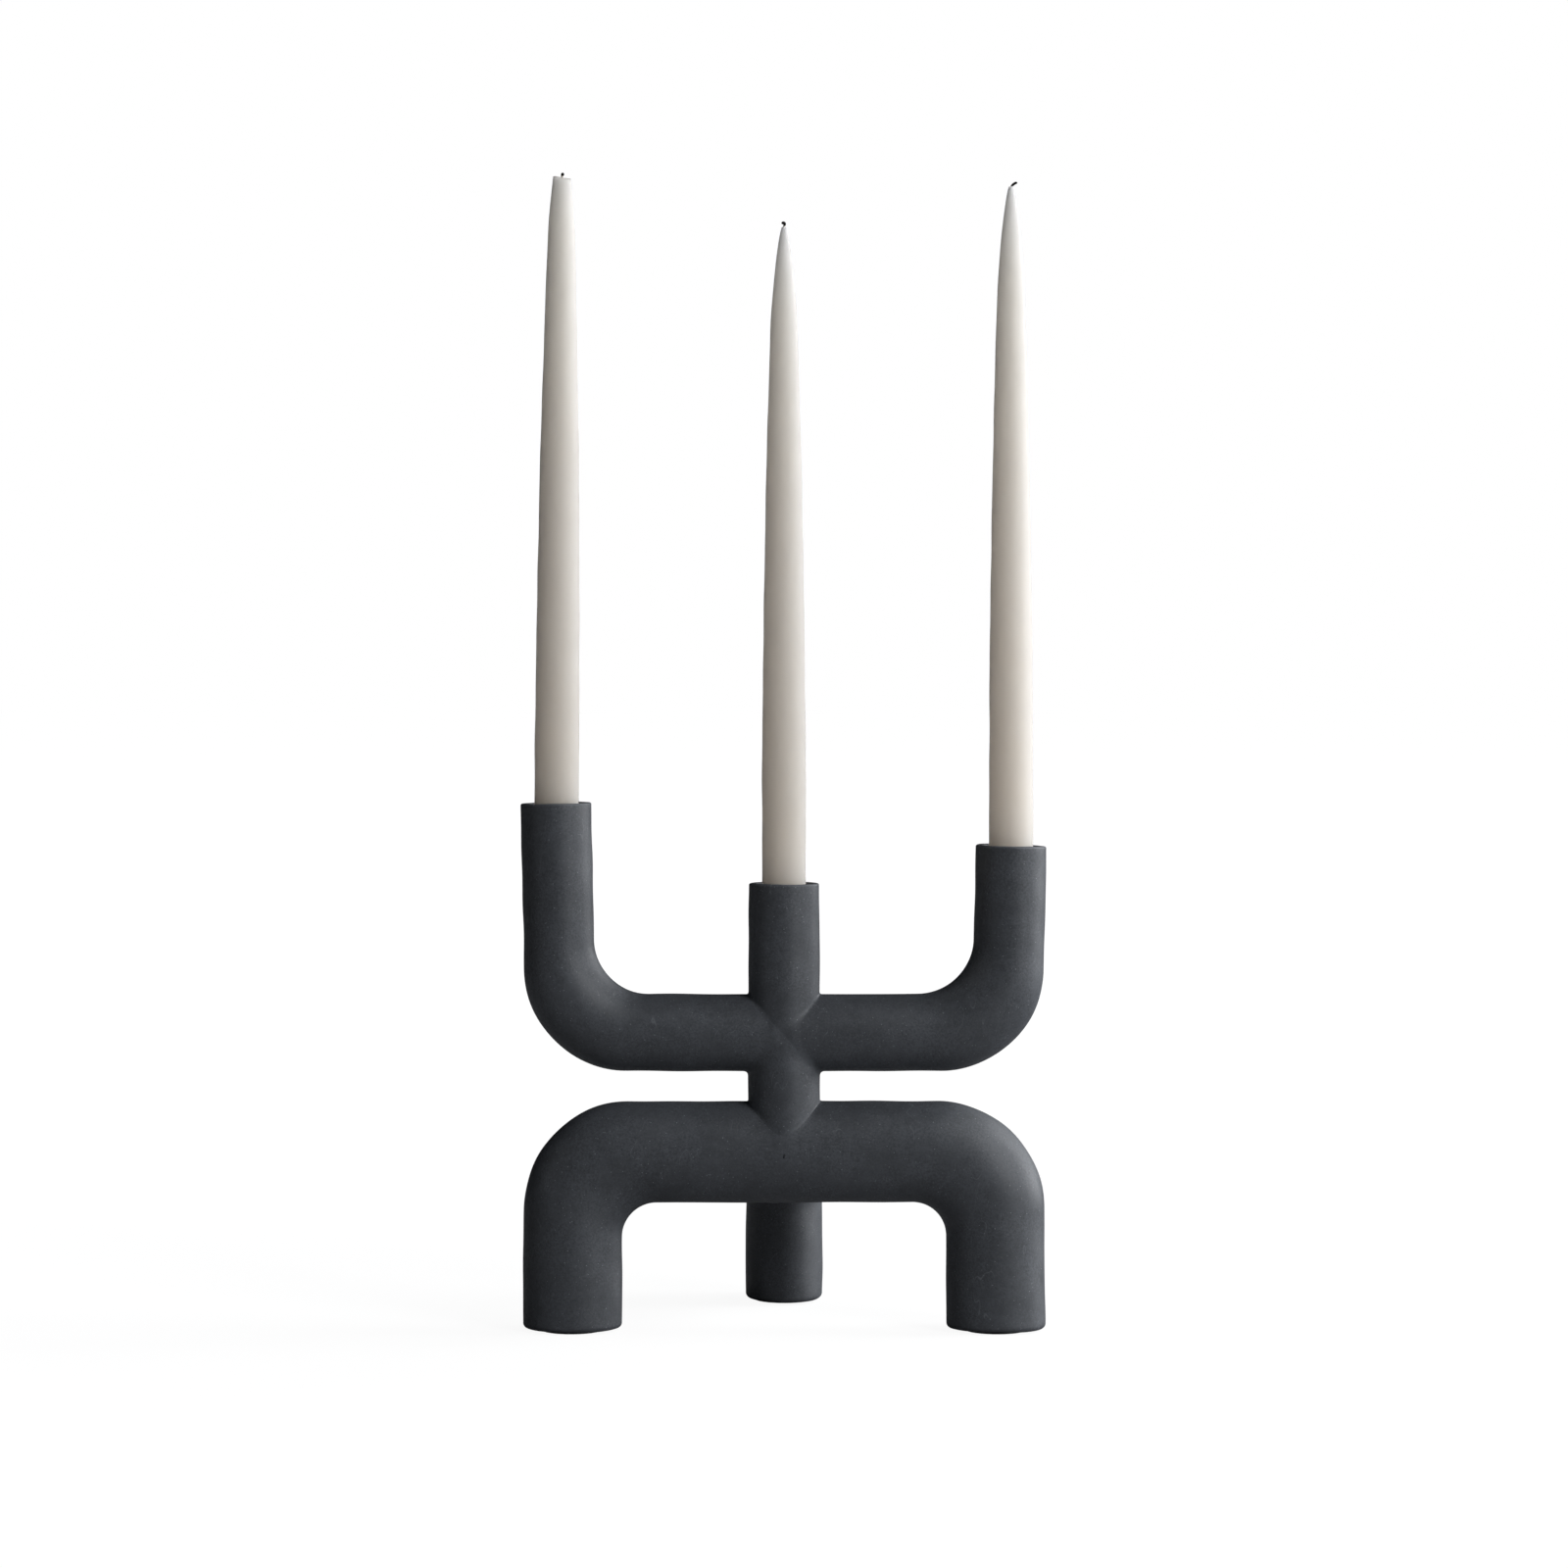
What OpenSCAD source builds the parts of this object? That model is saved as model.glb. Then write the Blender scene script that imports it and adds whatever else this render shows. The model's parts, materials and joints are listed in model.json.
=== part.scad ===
// Tabletop candelabra: luted ceramic tubes on three legs, with three cups and three dipped taper candles.
// +Z is up, +X runs to the right cup, +Y runs to the rear leg. Z = 0 is the surface that the feet stand on.

/* [Cups] */
// Outer diameter of the upright tubes at their rims
cup_d = 37.4; // [36.4:0.2:38]
// Diameter of the open mouth at each rim
mouth_d = 30.8; // [30.4:0.2:31.4]
// Height of the left rim
left_rim_z = 279.5; // [265:0.5:300]
// Height of the right rim
right_rim_z = 257; // [250:0.5:300]
// Height of the middle rim
middle_rim_z = 237; // [230:0.5:260]
// Distance from the column's axis to an outer cup's axis, where the bend ends
cup_reach = 119.3; // [112:0.1:126]

/* [Arms] */
// Height of the arms' centre line
arm_z = 157.8; // [155:0.2:160]
// Height of the arms' oval section
arm_h = 40.8; // [39:0.2:42]
// Radius of the arms' outer bend
arm_outer_bend_r = 55; // [50:0.5:60]
// Radius of the arms' inner bend
arm_inner_bend_r = 29.5; // [24:0.5:34]
// Angle by which the outer uprights lean away from the column
arm_splay = 1.2; // [0:0.1:2]

/* [Column] */
// Width of the column where it crosses the arms
column_w = 38; // [37:0.2:40]
// Depth of the column and the arms where they cross
column_depth = 39.2; // [38.6:0.2:40]

/* [Base] */
// Height of the arch's centre line
arch_z = 94.5; // [90:0.5:96]
// Height of the arch's oval section
arch_h = 53.6; // [52:0.2:56]
// Depth of the arch's oval section, which is also the legs' narrow width
arch_depth = 42.4; // [42:0.2:44]
// Wide width of a leg's oval section
leg_w = 52.4; // [51:0.2:54]
// Distance from the column's axis to a leg's axis
leg_reach = 111.9; // [106:0.1:118]
// Radius of the legs' outer bend
leg_outer_bend_r = 57; // [52:0.5:60]
// Radius of the legs' inner bend
leg_inner_bend_r = 18; // [14:0.5:20]
// Angle by which the legs lean outward
leg_splay = 0.4; // [0:0.1:1]
// Rounding of the foot's edge
foot_round = 2.6; // [1.5:0.1:3.5]

/* [Candles] */
// Diameter of a candle where it enters its cup
candle_d = 23.4; // [22:0.1:23.6]
// Height of a whole candle above its rim
candle_above_rim = 349.4; // [320:0.2:380]
// Height of the burnt left candle above its rim
left_above_rim = 332.5; // [300:0.5:340]
// Length that has burnt away from the left candle
left_burnt = 26; // [20:1:40]
// Lean of the left candle towards the column
left_lean = 0.5; // [0:0.1:0.6]
// Diameter of the wicks
wick_d = 1.8; // [1.4:0.1:2]

/* [Hidden] */

// The ceramic wall: an inner skin is its outer skin scaled by hollow, the cosine of wall_turn.
wall_turn = 40;
hollow = cos(wall_turn);
rim_round = 1;
rim_steps = 2;
ring_sides = 36;
bend_steps = 9;
cope_steps = 4;
slip_t = 0.04;

// Pads under the feet, and the floor and vent hole that close each foot above them.
pad_t = 1.2;
pad_r = 16.5;
foot_floor = 5;
vent_r = 4;
foot_steps = 3;

// A candle socket: its flange rests on a ledge inside the mouth, and its body hangs in the tube.
socket_recess = 8;
flange_t = 4;
candle_depth = 30;
socket_floor = 3;
socket_play = 0.3;
bore_play = 0.3;
ledge_depth = socket_recess + flange_t;

cup_r = cup_d / 2;
mouth_r = mouth_d / 2;
candle_r = candle_d / 2;
wick_r = wick_d / 2;
arm_half = [arm_h / 2, column_depth / 2];
column_half = [column_w / 2, column_depth / 2];
arch_half = [arch_h / 2, arch_depth / 2];

// The arch's centre plane, placed so that the origin is under the middle of the whole object.
leg_lean_shift = (arch_z - arch_half[0]) * tan(leg_splay);
rear_reach = leg_reach + leg_w / 2 + leg_lean_shift;
front_y = -(rear_reach - arch_depth / 2) / 2;

// A section of a bent tube is [centre, half, depth]: its centre and the vector to its outer
// edge, both in the plane of the bend, and half its depth across that plane.
function section(outer, inner, depth) = [(outer + inner) / 2, (outer - inner) / 2, depth];
function shrunk(s, k) = [s[0], s[1] * k, s[2] * k];
function shrunk_all(list, k) = [for (s = list) shrunk(s, k)];
function reversed(list) = [for (i = [len(list) - 1:-1:0]) list[i]];
function mirrored(list) = [for (s = list) [[-s[0][0], s[0][1]], [-s[1][0], s[1][1]], s[2]]];

// One turn around a section, as points with the bend's plane upright along X.
function ring(s) = [
    for (i = [0:ring_sides - 1])
        let (a = 360 * i / ring_sides, p = s[0] + s[1] * cos(a))
        [p[0], s[2] * sin(a), p[1]]
];
function rings(list) = [for (s = list) ring(s)];

// A closed band of rings, each joined to the next and the last to the first: a tube with its bore.
module band(list) {
    n = ring_sides;
    count = len(list);
    points = [for (r = list) each r];
    faces = [
        for (i = [0:count - 1], j = [0:n - 1])
            let (k = (i + 1) % count, m = (j + 1) % n)
            [i * n + j, i * n + m, k * n + m, k * n + j]
    ];
    polyhedron(points, faces);
}

// ---- Uprights: the rim, mouth and ledge that all three cups share ----

// The direction from an upright's centre to its outer edge, for a lean in degrees.
function across(lean) = [-cos(lean), -sin(lean)];
function upward(lean) = [-sin(lean), cos(lean)];

// A round section of an upright, at a distance down from its rim.
function upright_section(rim, lean, r, down) = [rim - upward(lean) * down, across(lean) * r, r];

// The rounded lip from the outer wall over to the mouth, then the ledge that holds the socket.
function lip_sections(rim, lean) = [
    for (i = [0:rim_steps])
        let (a = 90 * i / rim_steps)
        upright_section(rim, lean, cup_r - rim_round * (1 - cos(a)), rim_round * (1 - sin(a))),
    for (i = [0:rim_steps])
        let (a = 90 * i / rim_steps)
        upright_section(rim, lean, mouth_r + rim_round * (1 - sin(a)), rim_round * (1 - cos(a))),
    upright_section(rim, lean, mouth_r, ledge_depth),
    upright_section(rim, lean, cup_r * hollow, ledge_depth)
];

// ---- Arms ----

// A ring at the crossing, cut on the two sloping planes where the four tubes meet.
function mitred_ring(k) = [
    for (i = [0:ring_sides - 1])
        let (a = 360 * i / ring_sides, z = -arm_half[0] * cos(a) * k)
        [-abs(z) * column_half[0] / arm_half[0], arm_half[1] * sin(a) * k, arm_z + z]
];

// The outer and inner edges of an arm's bend have their own centres, so the elbow is fuller.
function arm_bend() =
    let (outer_c = [-(cup_reach + cup_r - arm_outer_bend_r), arm_z - arm_half[0] + arm_outer_bend_r])
    let (inner_c = [-(cup_reach - cup_r - arm_inner_bend_r), arm_z + arm_half[0] + arm_inner_bend_r])
    [
        for (i = [0:bend_steps])
            let (a = (90 - arm_splay) * i / bend_steps, way = [-sin(a), -cos(a)])
            section(
                outer_c + way * arm_outer_bend_r,
                inner_c + way * arm_inner_bend_r,
                arm_half[1] + (cup_r - arm_half[1]) * i / bend_steps
            )
    ];

// Where the axis of an outer upright meets its rim.
function arm_rim(rim_z) =
    let (bend_end = arm_bend()[bend_steps][0])
    [bend_end[0] - (rim_z - bend_end[1]) * tan(arm_splay), rim_z];

module arm(rim_z) {
    rim = arm_rim(rim_z);
    color("#2e3034")
        translate([0, front_y, 0])
            band([
                mitred_ring(1),
                each rings(arm_bend()),
                each rings(lip_sections(rim, arm_splay)),
                each rings(reversed(shrunk_all(arm_bend(), hollow))),
                mitred_ring(hollow)
            ]);
}

module left_arm() {
    arm(left_rim_z);
}

module right_arm() {
    mirror([1, 0, 0]) arm(right_rim_z);
}

// ---- Column: the middle cup above the crossing and the neck below it ----

// The same sloping cut, made on the column; up is 1 above the crossing and -1 below it.
function column_mitred_ring(k, up) = [
    for (i = [0:ring_sides - 1])
        let (a = 360 * i / ring_sides, x = -column_half[0] * cos(a) * k)
        [x, column_half[1] * sin(a) * k, arm_z + up * abs(x) * arm_half[0] / column_half[0]]
];

module middle_cup() {
    rim = [0, middle_rim_z];
    color("#2e3034")
        translate([0, front_y, 0])
            band([
                column_mitred_ring(1, 1),
                each rings(lip_sections(rim, 0)),
                column_mitred_ring(hollow, 1)
            ]);
}

// A coped end is a few rings, from the inner skin's scale to 1, whose steps suit a round tube.
function cope_scales() = [for (i = [cope_steps:-1:0]) cos(wall_turn * i / cope_steps)];

// Height of the base's top surface: the arch's oval, or behind it the rear leg's if that is higher.
function oval_rise(across) = arch_half[0] * sqrt(1 - pow(across / arch_half[1], 2));
function base_top(x, y) = arch_z + max(oval_rise(y), y > 0 ? oval_rise(x) : 0);

// The neck's lower end is coped to sit on the arch and on the root of the rear leg.
function neck_coped_ring(k) = [
    for (i = [0:ring_sides - 1])
        let (a = 360 * i / ring_sides, x = -column_half[0] * cos(a) * k, y = column_half[1] * sin(a) * k)
        [x, y, base_top(x, y)]
];

module neck() {
    color("#2e3034")
        translate([0, front_y, 0])
            band([
                for (k = cope_scales()) neck_coped_ring(k),
                column_mitred_ring(1, -1),
                column_mitred_ring(hollow, -1)
            ]);
}

// ---- Base: the arch with its two legs, and the rear leg ----

// One side of the arch, from the top of its bend down to the end of the foot's rounding.
function leg_bend() =
    let (outer_c = [-(leg_reach + leg_w / 2 - leg_outer_bend_r), arch_z + arch_half[0] - leg_outer_bend_r])
    let (inner_c = [-(leg_reach - leg_w / 2 - leg_inner_bend_r), arch_z - arch_half[0] - leg_inner_bend_r])
    [
        for (i = [0:bend_steps])
            let (a = (90 + leg_splay) * i / bend_steps, way = [-sin(a), cos(a)])
            section(outer_c + way * leg_outer_bend_r, inner_c + way * leg_inner_bend_r, arch_half[1])
    ];

// An oval section of a leg at a height, less an inset all round.
function leg_section(z, inset) = [
    [-leg_reach - (arch_z - arch_half[0] - z) * tan(leg_splay), z],
    [-(leg_w / 2 - inset), 0],
    arch_half[1] - inset
];

function vent_section(z) = [leg_section(z, 0)[0], [-vent_r, 0], vent_r];

function leg_outside() = [
    each leg_bend(),
    for (i = [0:foot_steps])
        let (a = 90 * i / foot_steps)
        leg_section(pad_t + foot_round * (1 - sin(a)), foot_round * (1 - cos(a))),
    vent_section(pad_t)
];

function leg_inside() = [
    each shrunk_all(leg_bend(), hollow),
    shrunk(leg_section(pad_t + foot_floor, 0), hollow),
    vent_section(pad_t + foot_floor)
];

module front_arch() {
    outside = leg_outside();
    inside = leg_inside();
    color("#2b2d31")
        translate([0, front_y, 0])
            band(rings([
                each reversed(outside),
                each mirrored(outside),
                each reversed(mirrored(inside)),
                each inside
            ]));
}

// The rear leg's end is coped onto the back of the arch, a film of slip away from its oval.
function rear_coped_ring(k) = [
    for (i = [0:ring_sides - 1])
        let (a = 360 * i / ring_sides, rise = k * cos(a), back = arch_half[1] * sqrt(1 - rise * rise))
        [-back - slip_t, arch_half[1] * sin(a) * k, arch_z + arch_half[0] * rise]
];

module rear_leg() {
    color("#2b2d31")
        translate([0, front_y, 0])
            rotate([0, 0, -90])
                band([
                    each rings(leg_inside()),
                    each rings(reversed(leg_outside())),
                    for (k = reversed(cope_scales())) rear_coped_ring(k)
                ]);
}

// ---- Sockets ----

// Puts its children at the foot of a candle: rim is the middle of the mouth, lean turns about Y.
module at_candle_foot(rim, lean) {
    foot = rim - [0, candle_depth];
    translate([foot[0], front_y, foot[1]]) rotate([0, lean, 0]) children();
}

// A flanged thimble that stands on the mouth's ledge; its bore follows the candle, not the tube.
module socket(rim, tube_lean, candle_lean) {
    body_r = cup_r * hollow - socket_play;
    body_h = candle_depth + socket_floor - ledge_depth;
    color("#1f2023")
        difference() {
            translate([rim[0], front_y, rim[1]])
                rotate([0, -tube_lean, 0])
                    translate([0, 0, -ledge_depth]) {
                        cylinder(r = mouth_r - socket_play, h = flange_t, $fn = 96);
                        translate([0, 0, -body_h]) cylinder(r = body_r, h = body_h, $fn = 96);
                    }
            at_candle_foot(rim, candle_lean)
                cylinder(r = candle_r + bore_play, h = candle_depth, $fn = 96);
        }
}

module left_socket() {
    socket(arm_rim(left_rim_z), arm_splay, left_lean);
}

module middle_socket() {
    socket([0, middle_rim_z], 0, 0);
}

module right_socket() {
    mirror([1, 0, 0]) socket(arm_rim(right_rim_z), arm_splay, 0);
}

// ---- Foot pads ----

// A felt disc under a foot; turn points from the column's axis to that leg.
module foot_pad(turn) {
    color("#4b4a47")
        translate([0, front_y, 0])
            rotate([0, 0, turn])
                translate([-leg_section(pad_t, 0)[0][0], 0, 0])
                    cylinder(r = pad_r, h = pad_t, $fn = 96);
}

module left_foot_pad() {
    foot_pad(180);
}

module right_foot_pad() {
    foot_pad(0);
}

module rear_foot_pad() {
    foot_pad(90);
}

// ---- Candles ----

// The dipped taper: a shaft that narrows evenly faster towards the top, and a rounded tip.
shaft_taper_l = 333;
shaft_taper = 0.548;
tip_l = 57;
tip_fullness = 1.6;
candle_steps = 28;
tip_cut = 2; // length that the wick takes the place of at the tip of a whole candle
wick_bend_r = 1.5;

function shaft_r(t) = candle_r * (1 - shaft_taper * pow(max(0, 1 - t / shaft_taper_l), 2));
function tip_factor(t) = sqrt(1 - pow(max(0, 1 - t / tip_l), tip_fullness));

// Radius of the wax at a distance below the unburnt tip.
function taper_r(t) = shaft_r(t) * tip_factor(t);

// Distances below the unburnt tip, closer together near it.
function taper_stations(first) = [
    for (i = [0:candle_steps])
        let (f = i / candle_steps)
        first + (shaft_taper_l - first) * f * f
];

// A candle whose wax ends at a height above its rim, with a length gone from its pointed tip.
module candle(above_rim, gone) {
    whole = above_rim + gone + candle_depth;
    color("#bdb5ad")
        rotate_extrude($fn = 96)
            polygon([
                [wick_r, 0],
                [candle_r, 0],
                for (t = reversed(taper_stations(gone))) [taper_r(t), whole - t],
                [wick_r, whole - gone]
            ]);
}

// The braided core of a candle and the charred end that stands out of the wax and bends over.
// turn is [angle of the bend, direction around the candle that it bends to].
module wick(height, stub, turn) {
    color("#2a2522") {
        cylinder(r = wick_r, h = height + stub, $fn = 32);
        translate([0, 0, height + stub])
            rotate([0, 0, turn[1]])
                translate([wick_bend_r, 0, 0])
                    rotate([90, 0, 180])
                        rotate_extrude(angle = turn[0], $fn = 48)
                            translate([wick_bend_r, 0])
                                circle(r = wick_r, $fn = 32);
    }
}

// For each wick: its straight length above the wax, then its bend.
left_stub = [1.6, [40, 0]];
middle_stub = [1.2, [100, 180]];
right_stub = [1.6, [75, 0]];

module left_candle() {
    at_candle_foot(arm_rim(left_rim_z), left_lean) candle(left_above_rim, left_burnt);
}

module middle_candle() {
    at_candle_foot([0, middle_rim_z], 0) candle(candle_above_rim, tip_cut);
}

module right_candle() {
    mirror([1, 0, 0]) at_candle_foot(arm_rim(right_rim_z), 0) candle(candle_above_rim, tip_cut);
}

module left_wick() {
    at_candle_foot(arm_rim(left_rim_z), left_lean)
        wick(left_above_rim + candle_depth, left_stub[0], left_stub[1]);
}

module middle_wick() {
    at_candle_foot([0, middle_rim_z], 0)
        wick(candle_above_rim + candle_depth, middle_stub[0], middle_stub[1]);
}

module right_wick() {
    translate([-arm_rim(right_rim_z)[0], front_y, right_rim_z - candle_depth])
        wick(candle_above_rim + candle_depth, right_stub[0], right_stub[1]);
}

left_arm();
right_arm();
middle_cup();
neck();
front_arch();
rear_leg();
left_socket();
middle_socket();
right_socket();
left_foot_pad();
right_foot_pad();
rear_foot_pad();
left_candle();
middle_candle();
right_candle();
left_wick();
middle_wick();
right_wick();
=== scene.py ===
import json
import math

import bmesh
import bpy
import numpy as np
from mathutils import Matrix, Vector


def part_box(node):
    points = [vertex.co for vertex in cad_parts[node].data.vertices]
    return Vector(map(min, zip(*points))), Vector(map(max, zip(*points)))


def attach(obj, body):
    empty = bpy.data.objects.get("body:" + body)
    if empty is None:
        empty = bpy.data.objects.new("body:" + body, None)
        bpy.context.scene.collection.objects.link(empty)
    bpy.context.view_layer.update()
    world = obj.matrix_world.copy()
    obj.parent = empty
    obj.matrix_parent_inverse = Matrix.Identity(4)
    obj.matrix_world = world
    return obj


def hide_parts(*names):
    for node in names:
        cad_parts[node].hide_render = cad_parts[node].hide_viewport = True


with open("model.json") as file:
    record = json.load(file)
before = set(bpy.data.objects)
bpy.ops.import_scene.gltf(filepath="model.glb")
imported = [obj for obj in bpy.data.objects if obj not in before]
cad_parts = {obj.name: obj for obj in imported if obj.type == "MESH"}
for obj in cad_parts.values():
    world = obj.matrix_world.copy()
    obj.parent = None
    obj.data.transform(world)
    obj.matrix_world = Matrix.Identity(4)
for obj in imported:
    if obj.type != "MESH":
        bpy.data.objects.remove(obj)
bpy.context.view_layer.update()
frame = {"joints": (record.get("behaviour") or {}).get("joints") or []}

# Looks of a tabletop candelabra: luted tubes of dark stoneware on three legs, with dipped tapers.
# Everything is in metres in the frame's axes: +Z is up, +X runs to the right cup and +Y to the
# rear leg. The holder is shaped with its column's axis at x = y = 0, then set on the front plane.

MM = 0.001

# ---- Sizes that the frame gives ----

arm_low, arm_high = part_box("left_arm")
cup_low, cup_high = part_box("middle_cup")
arch_low, arch_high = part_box("front_arch")

FRONT_Y = (cup_low.y + cup_high.y) / 2
ARM_Z = cup_low.z
ARM_HALF_H = ARM_Z - arm_low.z
ARM_HALF_D = (cup_high.y - cup_low.y) / 2
COLUMN_HALF_W = (cup_high.x - cup_low.x) / 2
ARCH_HALF_D = (arch_high.y - arch_low.y) / 2
PAD_T = arch_low.z

# ---- The potter's own sizes ----

CUP_R = 18.7 * MM
MOUTH_R = 15.4 * MM
CUP_REACH = 119.3 * MM
ARM_OUTER_R = 55 * MM
ARM_INNER_R = 29.5 * MM
ARM_SPLAY = math.radians(1.2)
ARCH_HALF_H = 26.8 * MM
ARCH_Z = arch_high.z - ARCH_HALF_H
LEG_HALF_W = 26.2 * MM
LEG_REACH = 111.9 * MM
LEG_OUTER_R = 57 * MM
LEG_INNER_R = 18 * MM
LEG_SPLAY = math.radians(0.4)
FOOT_ROUND = 2.6 * MM
FOOT_FLOOR = 5 * MM
VENT_R = 4 * MM
RIM_ROUND = 1 * MM
LEDGE_DEPTH = 12 * MM
HOLLOW = 0.766
SUNK = 0.8 * MM  # how far a luted end reaches into the wall that it meets

# Slip smeared into the corners: sharp above the arms and on the base, fuller under the arms.
SLIP_ABOVE_ARMS = 1.3 * MM
SLIP_BELOW_ARMS = 2.8 * MM
SLIP_ON_BASE = 1.15 * MM
SLIP_BEHIND = 3 * MM
SLIP_SPREAD = 3 * MM  # how much wider it is smeared where the walls meet almost level
SLIP_FADE = 0.06  # how steeply they have to meet for the smear to be narrow

SIDES = 144
BEND_STEPS = 44
LIP_STEPS = 7
around = np.linspace(0, 2 * math.pi, SIDES, endpoint=False)


# ---- Rings and walls ----


def ring(outer, inner, depth):
    """One turn of a tube: outer and inner are the (x, z) ends of its section in the bend's plane."""
    centre = (np.array(outer) + np.array(inner)) / 2
    half = (np.array(outer) - np.array(inner)) / 2
    x = centre[0] + half[0] * np.cos(around)
    z = centre[1] + half[1] * np.cos(around)
    return np.stack([x, depth * np.sin(around), z], axis=1)


def shrunk(turn, scale=HOLLOW):
    """The same turn on the inner skin of the wall."""
    centre = turn.mean(axis=0)
    return centre + (turn - centre) * scale


def between(first, last, places):
    """Turns on the straight wall between two turns, at the given shares of the way."""
    return [first + (last - first) * place for place in places]


def from_one_end(count, power=1.7):
    """Shares of a way that crowd together at its start."""
    return [(i / count) ** power for i in range(1, count)]


def from_both_ends(count):
    """Shares of a way that crowd together at both of its ends."""
    return [(1 - math.cos(math.pi * i / count)) / 2 for i in range(1, count)]


def evenly(count):
    return [i / count for i in range(1, count)]


def outward(turns):
    """The direction out of the wall at every point of its turns."""
    along = np.gradient(turns, axis=0)
    across = np.roll(turns, -1, axis=1) - np.roll(turns, 1, axis=1)
    normals = np.cross(along, across)
    normals /= np.linalg.norm(normals, axis=2, keepdims=True)
    from_axis = turns - turns.mean(axis=1, keepdims=True)
    return normals * np.sign((normals * from_axis).sum())


def straight_tube(along, centre, half_sizes, side=None):
    """A straight oval tube as a measure of points: how far outside it they are, and which way is out.
    side is (axis, sign) for a tube that is there only on one side of its centre."""
    across = [axis for axis in range(3) if axis != along]
    middle = np.array(centre)
    half = np.array(half_sizes)

    def measure(points):
        offset = (points - middle)[..., across]
        reach = np.linalg.norm(offset / half, axis=-1)
        pull = offset / half**2
        slope = np.linalg.norm(pull, axis=-1)
        normals = np.zeros_like(points)
        normals[..., across] = pull / slope[..., None]
        distance = (reach - 1) * reach / slope
        if side:
            behind = (points - middle)[..., side[0]] * side[1] < 0
            distance = np.where(behind, 1.0, distance)
        return distance, normals

    return measure


ARMS = straight_tube(0, (0, 0, ARM_Z), (ARM_HALF_D, ARM_HALF_H))
COLUMN = straight_tube(2, (0, 0, ARCH_Z), (COLUMN_HALF_W, ARM_HALF_D), side=(2, 1))
ARCH = straight_tube(0, (0, 0, ARCH_Z), (ARCH_HALF_D, ARCH_HALF_H))
REAR = straight_tube(1, (0, 0, ARCH_Z), (ARCH_HALF_D, ARCH_HALF_H), side=(1, 1))

# Slow waves of a wall that was drawn and smoothed by hand: [way, phase] of each.
UNEVEN = 0.055 * MM
shaping = np.random.default_rng(11)
WAVES = [(shaping.normal(size=3), shaping.uniform(0, 2 * math.pi)) for _ in range(14)]
WAVE_LENGTHS = np.linspace(18, 75, len(WAVES)) * MM


def unevenness(points):
    """How far the wall stands proud at each point. It is one function of place, so joints still meet."""
    total = 0
    for (way, phase), length in zip(WAVES, WAVE_LENGTHS):
        direction = way / np.linalg.norm(way)
        total = total + np.sin(points @ direction * (2 * math.pi / length) + phase)
    return UNEVEN * total


def worked(turns, neighbours):
    """Finishes an outer skin by hand: slip fills the corners with its neighbours, and it is uneven.
    neighbours is a list of (measure, size), where size may depend on the points."""
    own = outward(turns)
    lean = own.copy()
    push = unevenness(turns)
    for measure, size in neighbours:
        distance, theirs = measure(turns)
        level = np.exp(-(1 - (own * theirs).sum(axis=-1)) / SLIP_FADE)
        size = size + SLIP_SPREAD * level
        fill = np.clip(size - np.abs(distance), 0, None)
        share = fill / (2 * size)
        open_angle = 1 - level
        blended = own * (1 - share)[..., None] + theirs * share[..., None]
        slope = np.linalg.norm(blended, axis=-1)
        push = push + open_angle * fill**2 / (4 * size) / slope
        lean = lean + (blended / slope[..., None] - own) * open_angle[..., None]
    lean /= np.linalg.norm(lean, axis=-1, keepdims=True)
    return turns + lean * push[..., None]


def edge_share(turns):
    """1 on a rounded edge of about 1 mm, -1 in such a corner, 0 on open wall."""
    normals = outward(turns)
    turning = np.gradient(normals, axis=0)
    going = np.gradient(turns, axis=0)
    length = (going**2).sum(axis=-1)
    return np.clip((turning * going).sum(axis=-1) / length * MM, -1, 1)


def roll_wall(name, turns, edges):
    """Rolls a sheet of clay into a closed hollow wall that runs through every turn and back to the first."""
    count = len(turns)
    shape = bmesh.new()
    bmesh.ops.create_grid(shape, x_segments=count, y_segments=SIDES, size=0.5)
    edge = shape.verts.layers.float.new("edge")
    for point in shape.verts:
        i = round((point.co.x + 0.5) * count) % count
        j = round((point.co.y + 0.5) * SIDES) % SIDES
        point.co = turns[i][j]
        point[edge] = edges[i][j]
    bmesh.ops.remove_doubles(shape, verts=shape.verts, dist=1e-7)
    bmesh.ops.recalc_face_normals(shape, faces=shape.faces)
    return finished(name, shape)


def finished(name, shape, sharp_above=50):
    """Turns a bmesh into a smooth object, with creases where faces meet at a steeper angle."""
    for face in shape.faces:
        face.smooth = True
    for seam in shape.edges:
        seam.smooth = seam.calc_face_angle(0) < math.radians(sharp_above)
    mesh = bpy.data.meshes.new(name)
    shape.to_mesh(mesh)
    shape.free()
    made = bpy.data.objects.new(name, mesh)
    bpy.context.scene.collection.objects.link(made)
    return made


def set_up(made, node, body, material):
    """Dresses a piece and puts it in the place of its CAD node."""
    made.data.materials.append(material)
    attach(made, body)
    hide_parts(node)
    return made


def wall_piece(node, outside, inside, neighbours, place=lambda turns: turns):
    """A stoneware piece: outside is a list of turns worked by hand, inside the plain turns of its bore."""
    outer = place(np.array(outside))
    inner = place(np.array(inside))
    outer = worked(outer, neighbours(outer))
    turns = np.concatenate([outer, inner])
    edges = np.concatenate([edge_share(outer), np.zeros(inner.shape[:2])])
    turns = turns + np.array([0, FRONT_Y, 0])
    made = roll_wall(node + "_stoneware", turns, edges)
    return set_up(made, node, "holder", stoneware)


def mirrored(turns):
    return turns * np.array([-1, 1, 1])


def turned_to_rear(turns):
    """Turns a leg that runs to the left so that it runs to the rear."""
    return np.stack([turns[..., 1], -turns[..., 0], turns[..., 2]], axis=-1)


# ---- Arms and cups ----


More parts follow.
